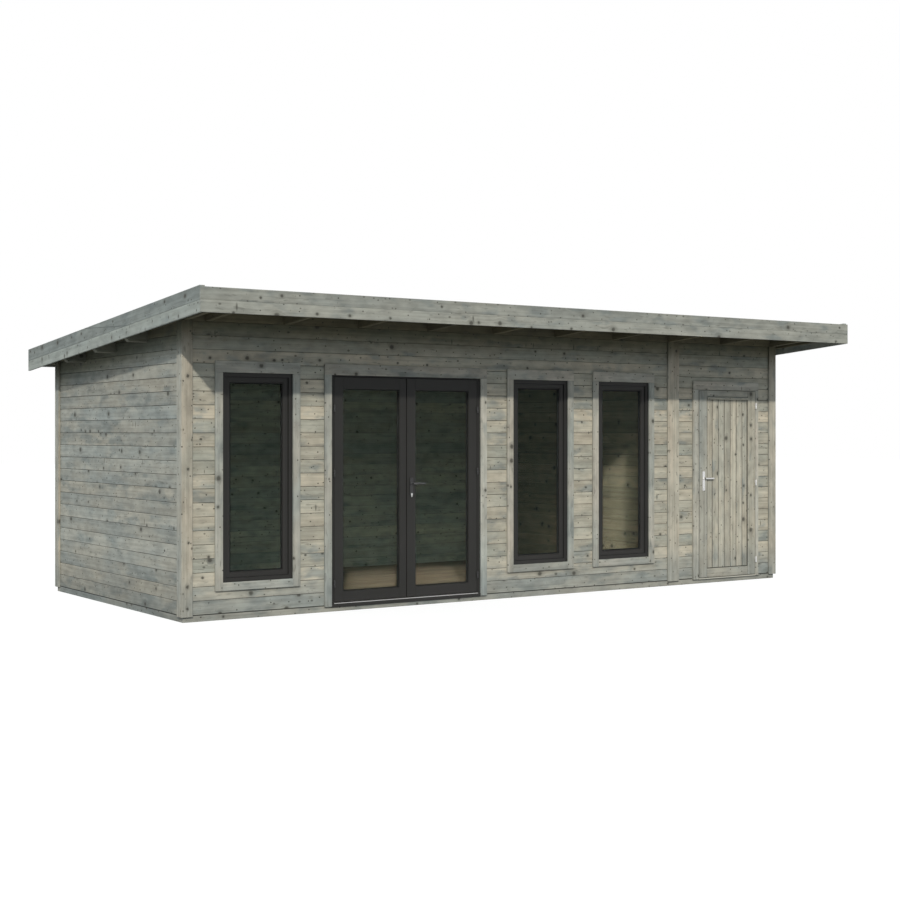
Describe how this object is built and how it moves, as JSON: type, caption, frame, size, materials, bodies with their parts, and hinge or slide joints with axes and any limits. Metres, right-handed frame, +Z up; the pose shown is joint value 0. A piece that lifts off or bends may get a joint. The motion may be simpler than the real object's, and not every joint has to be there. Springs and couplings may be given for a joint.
{
  "type": "garden house",
  "caption": "Timber garden house with a low pent roof, a glazed double door, tall fixed windows and a store with its own boarded door.",
  "frame": {"origin": "on the ground under the middle of the roof's plan", "axes": "+X along the front to the viewer's right, +Y from the doors to the back, +Z up"},
  "size_m": [7.18, 3.994, 2.6559],
  "materials": {
    "wall_timber": "weathered grey-green planks",
    "cover_timber": "weathered boards",
    "roof_timber": "weathered boards and beams",
    "base_timber": "treated beams",
    "floor_timber": "planed boards",
    "door_timber": "weathered boards",
    "anthracite": "satin dark grey",
    "dark_metal": "satin dark grey",
    "bright_metal": "brushed",
    "threshold_metal": "mill finish",
    "glass": "clear sealed units",
    "roof_felt": "matt roofing sheet"
  },
  "bodies": {
    "building": {"base_beams": "base_timber", "floor": "floor_timber", "front_wall_left": "wall_timber", "front_wall_middle": "wall_timber", "front_wall_right": "wall_timber", "front_wall_top": "wall_timber", "rear_wall": "wall_timber", "left_wall": "wall_timber", "right_wall": "wall_timber", "partition_wall": "wall_timber", "corner_boards": "cover_timber", "partition_cover": "cover_timber", "left_window_frame": "anthracite", "middle_window_frame": "anthracite", "right_window_frame": "anthracite", "window_glass": "glass", "window_casings": "cover_timber", "double_door_frame": "anthracite", "double_door_threshold": "threshold_metal", "double_door_casing": "cover_timber", "double_door_frame_hinges": "dark_metal", "store_door_frame": "door_timber", "store_door_casing": "cover_timber", "store_door_threshold": "threshold_metal", "store_frame_hinges": "bright_metal", "purlins": "roof_timber", "rafters": "roof_timber", "eave_blocking": "roof_timber", "roof_deck": "roof_timber", "roof_felt": "roof_felt", "roof_kerbs": "roof_timber", "front_fascia": "roof_timber", "side_fascias": "roof_timber", "rear_fascia": "roof_timber"},
    "left_leaf": {"left_leaf_frame": "anthracite", "left_leaf_beads": "anthracite", "left_leaf_glass": "glass", "left_leaf_hinges": "dark_metal"},
    "right_leaf": {"right_leaf_frame": "anthracite", "right_leaf_beads": "anthracite", "right_leaf_glass": "glass", "right_leaf_hinges": "dark_metal", "right_leaf_lock_plates": "dark_metal"},
    "right_lever": {"right_leaf_lever": "dark_metal"},
    "store_leaf": {"store_leaf_frame": "door_timber", "store_leaf_panel": "door_timber", "store_leaf_drip_bar": "door_timber", "store_leaf_hinges": "bright_metal", "store_leaf_lock_plates": "bright_metal"},
    "store_lever": {"store_leaf_lever": "bright_metal"}
  },
  "joints": [
    {"name": "left_leaf_hinge", "type": "hinge", "parent": "building", "child": "left_leaf", "pos_m": [-1.96952, -1.182, 1.049], "axis": [0, 0, -1], "range_deg": [0, 110]},
    {"name": "right_leaf_hinge", "type": "hinge", "parent": "building", "child": "right_leaf", "pos_m": [-0.46552, -1.182, 1.049], "axis": [0, 0, 1], "range_deg": [0, 110]},
    {"name": "right_lever_turn", "type": "hinge", "parent": "right_leaf", "child": "right_lever", "pos_m": [-1.18152, -1.173, 1.084], "axis": [0, 1, 0], "range_deg": [0, 40], "stiffness_Nm_per_rad": 2, "springref_deg": -28.65},
    {"name": "store_leaf_hinge", "type": "hinge", "parent": "building", "child": "store_leaf", "pos_m": [3.08534, -1.202, 1.049], "axis": [0, 0, 1], "range_deg": [0, 110]},
    {"name": "store_lever_turn", "type": "hinge", "parent": "store_leaf", "child": "store_lever", "pos_m": [2.34284, -1.193, 1.071], "axis": [0, 1, 0], "range_deg": [0, 40], "stiffness_Nm_per_rad": 2, "springref_deg": -28.65}
  ]
}
